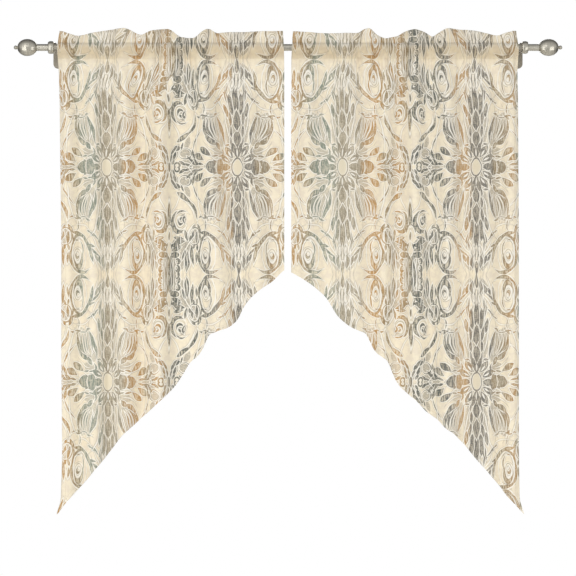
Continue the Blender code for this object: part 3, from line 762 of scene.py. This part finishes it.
def draw_leaf(tree, place, leaf):
    """How deep a place lies inside a leaf, in mm."""
    x, y, angle, half_length, half_width, taper, bend = leaf
    values = {
        "along": measure(tree, place, x, y, angle, half_length),
        "across": measure(tree, place, x, y, angle + 90.0, 1.0, -bend / 2.0),
    }
    steps = [
        ("square", "MULTIPLY", "along", "along"),
        ("width", "MULTIPLY_ADD", "square", -half_width, half_width),
    ]
    if taper:
        steps += [
            ("swell", "MULTIPLY_ADD", "along", taper, 1.0),
            ("swell", "MAXIMUM", "swell", 0.1),
            ("width", "MULTIPLY", "width", "swell"),
        ]
    if bend:
        steps.append(("across", "MULTIPLY_ADD", "square", bend, "across"))
    steps += [("off", "ABSOLUTE", "across"), ("depth", "SUBTRACT", "width", "off")]
    return reckon(tree, steps, values)


def draw_scroll(tree, place, scroll):
    """How deep a place lies inside an oval stroke, in mm."""
    x, y, half_x, half_y, tilt, thick_at, half_width, lift = scroll
    scale = min(half_x, half_y)
    values = {
        "right": measure(tree, place, x, y, tilt, half_x),
        "up": measure(tree, place, x, y, tilt + 90.0, half_y),
        "stroke": half_width * lift,
    }
    steps = [
        ("square", "MULTIPLY", "right", "right"),
        ("square", "MULTIPLY_ADD", "up", "up", "square"),
        ("reach", "SQRT", "square"),
        ("from_line", "MULTIPLY_ADD", "reach", scale, -scale),
        ("off", "ABSOLUTE", "from_line"),
    ]
    if lift < 1.0:
        steps += [
            ("toward", "MULTIPLY", "up", sin(radians(thick_at))),
            ("toward", "MULTIPLY_ADD", "right", cos(radians(thick_at)), "toward"),
            ("toward", "DIVIDE", "toward", "reach"),
            ("stroke", "MULTIPLY_ADD", "toward", half_width * (1.0 - lift), half_width * lift),
        ]
    steps.append(("depth", "SUBTRACT", "stroke", "off"))
    return reckon(tree, steps, values)


def keep_deepest(tree, deepest, depth):
    """The deeper of two depths, or the only one that there is yet."""
    if deepest is None:
        return depth
    return reckon(tree, [("deepest", "MAXIMUM", deepest, depth)], {})


def chart_group(name, motifs):
    """A node group that gives how deep a place lies inside the nearest of some motifs, in mm."""
    group = bpy.data.node_groups.new(name, "ShaderNodeTree")
    group.interface.new_socket("Place", in_out="INPUT", socket_type="NodeSocketVector")
    group.interface.new_socket("Depth", in_out="OUTPUT", socket_type="NodeSocketFloat")
    place = add_node(group, "NodeGroupInput", {}).outputs[0]
    deepest = None
    for motif in motifs:
        draw = draw_leaf if isinstance(motif, Leaf) else draw_scroll
        deepest = keep_deepest(group, deepest, draw(group, place, motif))
    add_node(group, "NodeGroupOutput", {0: deepest})
    return group


def draw_chart(tree, place, chart):
    """How deep a place lies inside any motif of a chart, in mm, and below 0 outside them all."""
    deepest = None
    for name, motifs in chart.items():
        group = chart_group("damask " + name, motifs)
        depth = add_node(tree, "ShaderNodeGroup", {"node_tree": group, 0: place}).outputs[0]
        deepest = keep_deepest(tree, deepest, depth)
    return deepest


# Random marks on the cloth: their size across and along it in mm, their detail and their seed.
Marks = namedtuple("Marks", "across along detail seed")
PRINT_MARKS = {
    "drift_across": Marks(30.0, 30.0, 1.0, 0.0),
    "drift_along": Marks(30.0, 30.0, 1.0, 7.3),
    "stripe_drift": Marks(55.0, 55.0, 2.0, 1.4),
    "hatch": Marks(11.7, 2.6, 2.0, 0.0),
    "streak": Marks(3.6, 20.0, 1.0, 3.1),
    "speck": Marks(3.0, 3.0, 2.0, 5.7),
    "patch": Marks(22.0, 22.0, 1.0, 9.2),
    "mottle": Marks(14.0, 14.0, 2.0, 2.5),
}


def flat_in_mm(tree):
    """A place on the flat cloth, in mm across it and down it."""
    flat_map = add_node(tree, "ShaderNodeUVMap", {"uv_map": "flat_cloth"})
    in_mm = {"operation": "SCALE", 0: flat_map.outputs[0], "Scale": 1000.0}
    return add_node(tree, "ShaderNodeVectorMath", in_mm).outputs[0]


def scatter(tree, flat, kinds):
    """Random fields over the flat cloth, one for each kind of mark."""
    fields = {}
    for name, marks in kinds.items():
        scale = (1.0 / marks.across, 1.0 / marks.along, 1.0)
        start = (marks.seed, marks.seed, 0.0)
        at = add_node(tree, "ShaderNodeMapping", {"Vector": flat, "Scale": scale, "Location": start})
        noise = {"noise_dimensions": "2D", "Vector": at.outputs[0], "Detail": marks.detail}
        noise["Scale"] = 1.0
        fields[name] = add_node(tree, "ShaderNodeTexNoise", noise).outputs["Fac"]
    return fields


# A soft edge: how much shows goes from least, where a field is low, to most, where it is high.
# Where low is the larger number, it shows as the field falls. A depth is in mm, below 0 outside.
Soft = namedtuple("Soft", "field low high least most", defaults=(0.0, 1.0))


def inside_all(tree, edges):
    """How far a place lies inside every one of some soft edges."""
    share = 1.0
    for edge in edges:
        settings = {"interpolation_type": "SMOOTHSTEP", "Value": edge.field}
        settings |= {"From Min": edge.low, "From Max": edge.high}
        settings |= {"To Min": edge.least, "To Max": edge.most}
        inside = add_node(tree, "ShaderNodeMapRange", settings).outputs[0]
        share = reckon(tree, [("share", "MULTIPLY", inside, share)], {})
    return share


def lay_print(tree, under, colour, edges):
    """Lay a colour over what is under it, inside every one of its soft edges."""
    laid = {"data_type": "RGBA", 0: inside_all(tree, edges), 6: under, 7: colour}
    return add_node(tree, "ShaderNodeMix", laid).outputs[2]


def fill_ramp(ramp, places, colours):
    """Give a colour ramp its stops, all placed before the first is coloured."""
    stops = ramp.color_ramp.elements
    while len(stops) < len(places):
        stops.new(1.0)
    for stop, place in zip(stops, places):
        stop.position = place
    for stop, colour in zip(stops, colours):
        stop.color = colour


# The print as a group, so that the cloth's face and its paler reverse carry the same one.
print_group = bpy.data.node_groups.new("damask_print", "ShaderNodeTree")
print_group.interface.new_socket("Colour", in_out="OUTPUT", socket_type="NodeSocketColor")
tree = print_group
flat = flat_in_mm(tree)
parts = add_node(tree, "ShaderNodeSeparateXYZ", {0: flat})
marks = scatter(tree, flat, PRINT_MARKS)

# The screens were cut by hand: every outline wanders by a millimetre or two.
WANDER = 5.0
chart_axes = []
for value, stretch, drift, middle, half in (
    (parts.outputs[0], PRINT_STRETCH, marks["drift_across"], MEDALLION_U, HALF_REPEAT_U),
    (parts.outputs[1], 1.0, marks["drift_along"], MEDALLION_S, HALF_REPEAT_S),
):
    steps = [
        ("moved", "MULTIPLY_ADD", drift, WANDER, -middle / stretch - WANDER / 2.0),
        ("moved", "MULTIPLY_ADD", value, 1.0 / stretch, "moved"),
        ("folded", "PINGPONG", "moved", half),
    ]
    chart_axes.append(reckon(tree, steps, {}))
on_chart = {0: chart_axes[0], 1: chart_axes[1], 2: 1.0}
place = add_node(tree, "ShaderNodeCombineXYZ", on_chart).outputs[0]
ink_depth = draw_chart(tree, place, INK_MOTIFS)
wash_depth = draw_chart(tree, place, WASH_MOTIFS)
pale_depth = draw_chart(tree, place, PALE_MOTIFS)
boss_depth = draw_chart(tree, place, BOSS_MOTIFS)

# The ink by its stripe, whose edges wander by a finger's breadth.
STRIPE_WANDER = 0.03
steps = [
    ("wandering", "MULTIPLY_ADD", marks["stripe_drift"], STRIPE_WANDER, -STRIPE_WANDER / 2.0),
    ("stripe", "MULTIPLY_ADD", parts.outputs[0], 0.001 / PRINT_STRETCH, "wandering"),
]
across_panel = reckon(tree, steps, {})
places = [stripe.place / 1000.0 for stripe in INK_STRIPES]
ink_ramp = add_node(tree, "ShaderNodeValToRGB", {0: across_panel})
fill_ramp(ink_ramp, places, [linear(INKS[stripe.ink]) for stripe in INK_STRIPES])
depth_ramp = add_node(tree, "ShaderNodeValToRGB", {0: across_panel})
fill_ramp(depth_ramp, places, [(*[stripe.depth] * 3, 1.0) for stripe in INK_STRIPES])
ink, ink_strength = ink_ramp.outputs[0], depth_ramp.outputs[0]
WASH_GREYED = 0.55
greyed = {"data_type": "RGBA", 0: WASH_GREYED, 6: ink, 7: linear(WASH_GREY)}
wash_ink = add_node(tree, "ShaderNodeMix", greyed).outputs[2]

# Wear: the ink is thin along the threads and speckled, and its outlines come and go.
steps = [
    ("wear", "ADD", marks["hatch"], marks["streak"]),
    ("wear", "ADD", "wear", marks["speck"]),
]
wear = reckon(tree, steps, {})
worn = Soft(wear, 1.30, 1.62, 0.66, 1.0)
# Inside a leaf the ink is hatched along the cloth, where a streak is over a height of 0.4, while
# its rim is printed full and fades out 2.5 mm inside.
STROKE_GAIN = 6.0
STROKE_START = 0.4
RIM_GAIN = 0.8
RIM_WIDTH = 2.5
steps = [
    ("strokes", "MULTIPLY_ADD", marks["streak"], STROKE_GAIN, -STROKE_GAIN * STROKE_START),
    ("rim", "MULTIPLY_ADD", ink_depth, -RIM_GAIN, RIM_GAIN * RIM_WIDTH),
    ("hatched", "MAXIMUM", "strokes", "rim"),
]
hatched = reckon(tree, steps, {})
pale = linear(PALE_CREAM)
colour = linear(GROUND_CREAM)
for layer, edges in (
    # The cream ground is mottled, and a thin wash of ink lies behind each group of motifs.
    (linear(MOTTLE_CREAM), [Soft(marks["mottle"], 0.40, 0.62, 0.0, 0.42)]),
    (
        wash_ink,
        [
            Soft(wash_depth, -0.5, 0.8),
            Soft(marks["speck"], 0.36, 0.60, 0.34, 0.70),
            Soft(ink_strength, 0.70, 0.97, 0.72, 1.15),
        ],
    ),
    # Bare cloth runs round the wash and every inked motif, with a thin worn outline round that.
    (pale, [Soft(wash_depth, -2.8, -1.8, 0.0, 0.4), Soft(wash_depth, 0.3, -0.7)]),
    (pale, [Soft(ink_depth, -2.5, -1.6, 0.0, 0.95), Soft(ink_depth, 0.0, -0.7)]),
    (
        linear(OUTLINE_SLATE),
        [
            Soft(ink_depth, -3.7, -3.1, 0.0, 0.55),
            Soft(ink_depth, -2.4, -3.0),
            Soft(marks["patch"], 0.40, 0.56),
        ],
    ),
    # The ink itself, then the bare slits and stems with their own thin outlines, and the boss.
    (
        ink,
        [
            Soft(ink_depth, -0.5, 0.5),
            Soft(hatched, 0.0, 1.0, 0.46, 1.0),
            worn,
            Soft(ink_strength, 0.4, 0.9, 0.4, 1.0),
        ],
    ),
    (
        linear(OUTLINE_SLATE),
        [Soft(pale_depth, -2.4, -1.6, 0.0, 0.34), Soft(pale_depth, -0.5, -1.2)],
    ),
    (pale, [Soft(pale_depth, -0.8, 0.2, 0.0, 0.95)]),
    (linear(BOSS_CREAM), [Soft(boss_depth, -0.4, 0.5)]),
):
    colour = lay_print(tree, colour, layer, edges)
add_node(tree, "NodeGroupOutput", {0: colour})

# Printed cotton blend: matt, softly woven, with thin ink that lets the threads show. Its threads
# are 0.4 mm apart, too fine for the eye from across a room, so they are drawn 1.4 mm apart, with
# slubs 14 times as long as they are wide.
THREAD = 1.4
SLUB = 14.0
THREAD_SHADE = "D9CBB0"
# The next colour is painted shade, multiplied into the cloth's colour round the rod pocket and above
# the lower seam.
PAINTED_SHADE_TONE = "E3DCD0"
THREAD_MARKS = {
    "warp": Marks(THREAD, THREAD * SLUB, 1.0, 0.0),
    "weft": Marks(THREAD * SLUB, THREAD, 1.0, 4.4),
    # Patches that break up the painted shade above the lower seam.
    "shade_patches": Marks(60.0, 60.0, 1.0, 6.1),
}
printed_cloth, tree, shader = start_material("printed_cotton_blend")
damask = add_node(tree, "ShaderNodeGroup", {"node_tree": print_group}).outputs[0]
flat = flat_in_mm(tree)
threads = scatter(tree, flat, THREAD_MARKS)
weave = reckon(tree, [("weave", "ADD", threads["warp"], threads["weft"])], {})
tint = lay_print(tree, damask, linear(THREAD_SHADE), [Soft(weave, 1.12, 0.82, 0.0, 0.16)])
woven = {"Height": weave, "Strength": 0.35, "Distance": 0.0004}
relief = add_node(tree, "ShaderNodeBump", woven).outputs[0]
# Painted shade: the cloth above the lower seam is painted duller in patches, and the band round the
# rod pocket more so. This stands in for the shade there and for the daylight that would come through
# less where the cloth is double and the rod is behind it.
# Places are in mm below the top of the flat cloth.
POCKET_SHADE_STARTS = 32.0
POCKET_SHADE_FULL = 46.0
FADE_ABOVE = 22.0
FADE_BELOW = 14.0
SEAM_SHADE_SOFTNESS = 2.5
down = add_node(tree, "ShaderNodeSeparateXYZ", {0: flat}).outputs[1]
seam_mm = 1000.0 * (FLAT_TOP_Z - LOWER_STITCH_Z)
painted_pocket_shade = [
    Soft(down, POCKET_SHADE_STARTS, POCKET_SHADE_FULL),
    Soft(down, seam_mm + FADE_BELOW, seam_mm - FADE_ABOVE, 0.0, 0.8),
]
painted_double_ply_shade = [
    Soft(down, seam_mm + SEAM_SHADE_SOFTNESS, seam_mm - SEAM_SHADE_SOFTNESS, 0.0, 0.4),
    Soft(threads["shade_patches"], 0.42, 0.6, 0.2, 1.0),
]
# How much painted shade each place gets: the rod pocket's band plus the patchy band above the seam.
steps = [("painted_shade_share", "ADD", inside_all(tree, painted_pocket_shade), inside_all(tree, painted_double_ply_shade))]
painted_shade_mix = {"data_type": "RGBA", "blend_type": "MULTIPLY", 0: reckon(tree, steps, {})}
painted_shade_mix |= {6: tint, 7: linear(PAINTED_SHADE_TONE)}
with_painted_shade = add_node(tree, "ShaderNodeMix", painted_shade_mix).outputs[2]
finish = {"Base Color": with_painted_shade, "Normal": relief, "Roughness": 0.88, "Sheen Weight": 0.15}
set_up(tree, shader, finish)

# The reverse: the same cloth, where the print only shows through as a faint shade.
REVERSE_CREAM = "EAE1CE"
SHOWS_THROUGH = 0.28
cloth_reverse, tree, shader = start_material("printed_cotton_blend_reverse")
damask = add_node(tree, "ShaderNodeGroup", {"node_tree": print_group}).outputs[0]
through = {"data_type": "RGBA", 0: SHOWS_THROUGH, 6: linear(REVERSE_CREAM), 7: damask}
faint = add_node(tree, "ShaderNodeMix", through).outputs[2]
set_up(tree, shader, {"Base Color": faint, "Roughness": 0.88})

# Spun polyester sewing thread, twisted: its colour is painted lighter and darker in turn along it, a
# painted sheen standing in for the soft shine of the twist.
THREAD_DARK = "C9BB9C"
THREAD_LIGHT = "E8DDC4"
sewing_thread, tree, shader = start_material("spun_polyester_thread")
place = add_node(tree, "ShaderNodeTexCoord", {}).outputs["Object"]
sheen_noise = {"Vector": place, "Scale": 1.0 / THREAD_WIDTH, "Detail": 1.0}
painted_sheen = add_node(tree, "ShaderNodeTexNoise", sheen_noise).outputs[0]
# The painted sheen: the thread's colour goes between its dark and light tone along it.
toned = {"data_type": "RGBA", 0: painted_sheen, 6: linear(THREAD_DARK), 7: linear(THREAD_LIGHT)}
tone = add_node(tree, "ShaderNodeMix", toned).outputs[2]
set_up(tree, shader, {"Base Color": tone, "Roughness": 0.55})

for panel in (LEFT, RIGHT):
    piece, front_length, seams = add_panel(panel, printed_cloth, cloth_reverse)
    stitches = add_stitches(panel.name + "_stitches", seams, sewing_thread)
    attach(piece, "root")
    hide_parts(panel.name)
    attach(stitches, "root")

# ---------------------------------------------------------------- floor, light and camera
# A pale painted floor far below the hung drapes, three soft boxes before them and one behind,
# and a long lens about level with the middle of the cloth.

FLOOR_Z = -2.0
FLOOR_Y = -0.5
FLOOR_HALF = 3.5
FLOOR_WHITE = "F7F5F1"
VIEW_Z = -0.5645
VIEW_DISTANCE = 6.0
VIEW_WIDTH = 1.352

boards = bmesh.new()
bmesh.ops.create_grid(boards, x_segments=1, y_segments=1, size=FLOOR_HALF)
bmesh.ops.translate(boards, verts=boards.verts, vec=(0.0, FLOOR_Y, FLOOR_Z))
floor_paint, tree, shader = start_material("matt_floor_paint")
set_up(tree, shader, {"Base Color": linear(FLOOR_WHITE), "Roughness": 0.9})
floor = link_piece("floor", boards, [floor_paint])

# The studio is brightest a little above eye level in front, and dim below and behind the rod,
# which gives the metal its dark edges. The camera itself sees only plain white. A zone's height
# goes from -1 straight down to 1 straight up.
Zone = namedtuple("Zone", "height grey")
STUDIO_ZONES = (
    Zone(-1.0, 0.28),
    Zone(-0.42, 0.24),
    Zone(-0.15, 0.54),
    Zone(0.20, 0.80),
    Zone(0.75, 0.62),
    Zone(1.0, 0.50),
)
BEHIND = 0.22
world = bpy.data.worlds.new("studio")
bpy.context.scene.world = world
world.use_nodes = True
tree = world.node_tree
direction = add_node(tree, "ShaderNodeTexCoord", {}).outputs["Generated"]
parts = add_node(tree, "ShaderNodeSeparateXYZ", {0: direction})
up = reckon(tree, [("up", "MULTIPLY_ADD", parts.outputs["Z"], 0.5, 0.5)], {})
zones = add_node(tree, "ShaderNodeValToRGB", {0: up})
heights = [(zone.height + 1.0) / 2.0 for zone in STUDIO_ZONES]
fill_ramp(zones, heights, [(*[zone.grey] * 3, 1.0) for zone in STUDIO_ZONES])
toward_back = {"Value": parts.outputs["Y"], "From Min": -0.3, "From Max": 0.3}
toward_back |= {"To Min": 1.0, "To Max": BEHIND}
dim = add_node(tree, "ShaderNodeMapRange", toward_back).outputs[0]
lit = {"data_type": "RGBA", "blend_type": "MULTIPLY", 0: 1.0, 6: zones.outputs[0], 7: dim}
room = add_node(tree, "ShaderNodeMix", lit).outputs[2]
seen = add_node(tree, "ShaderNodeLightPath", {}).outputs["Is Camera Ray"]
backdrop = {"data_type": "RGBA", 0: seen, 6: room, 7: (1.0, 1.0, 1.0, 1.0)}
shown = add_node(tree, "ShaderNodeMix", backdrop).outputs[2]
set_up(tree, tree.nodes["Background"], {"Color": shown})

SoftBox = namedtuple("SoftBox", "name place aim size power")
SOFT_BOXES = (
    SoftBox("left_side", (-1.5, -1.7, -0.8), (-0.5, 0.0, -0.7), 1.2, 15.0),
    SoftBox("right_side", (1.6, -1.7, -0.8), (0.5, 0.0, -0.7), 1.2, 14.0),
    SoftBox("front", (-1.3, -2.8, 1.2), (-0.2, 0.0, -0.3), 1.6, 14.0),
    SoftBox("back", (0.3, 2.6, 0.2), (0.0, 0.0, -0.8), 1.8, 46.0),
)
for box in SOFT_BOXES:
    lamp = bpy.data.lights.new(box.name, "AREA")
    lamp.shape = "SQUARE"
    lamp.size = box.size
    lamp.energy = box.power
    stand = bpy.data.objects.new(box.name, lamp)
    bpy.context.collection.objects.link(stand)
    stand.location = box.place
    stand.rotation_euler = (Vector(box.aim) - stand.location).to_track_quat("-Z", "Y").to_euler()
    stand.visible_camera = False

camera_data = bpy.data.cameras.new("camera")
camera_data.sensor_width = 36.0
camera_data.lens = camera_data.sensor_width * VIEW_DISTANCE / VIEW_WIDTH
camera = bpy.data.objects.new("camera", camera_data)
bpy.context.collection.objects.link(camera)
camera.location = (0.0, ROD_Y - VIEW_DISTANCE, VIEW_Z)
camera.rotation_euler = (pi / 2.0, 0.0, 0.0)
bpy.context.scene.camera = camera
bpy.context.scene.view_settings.view_transform = "Standard"
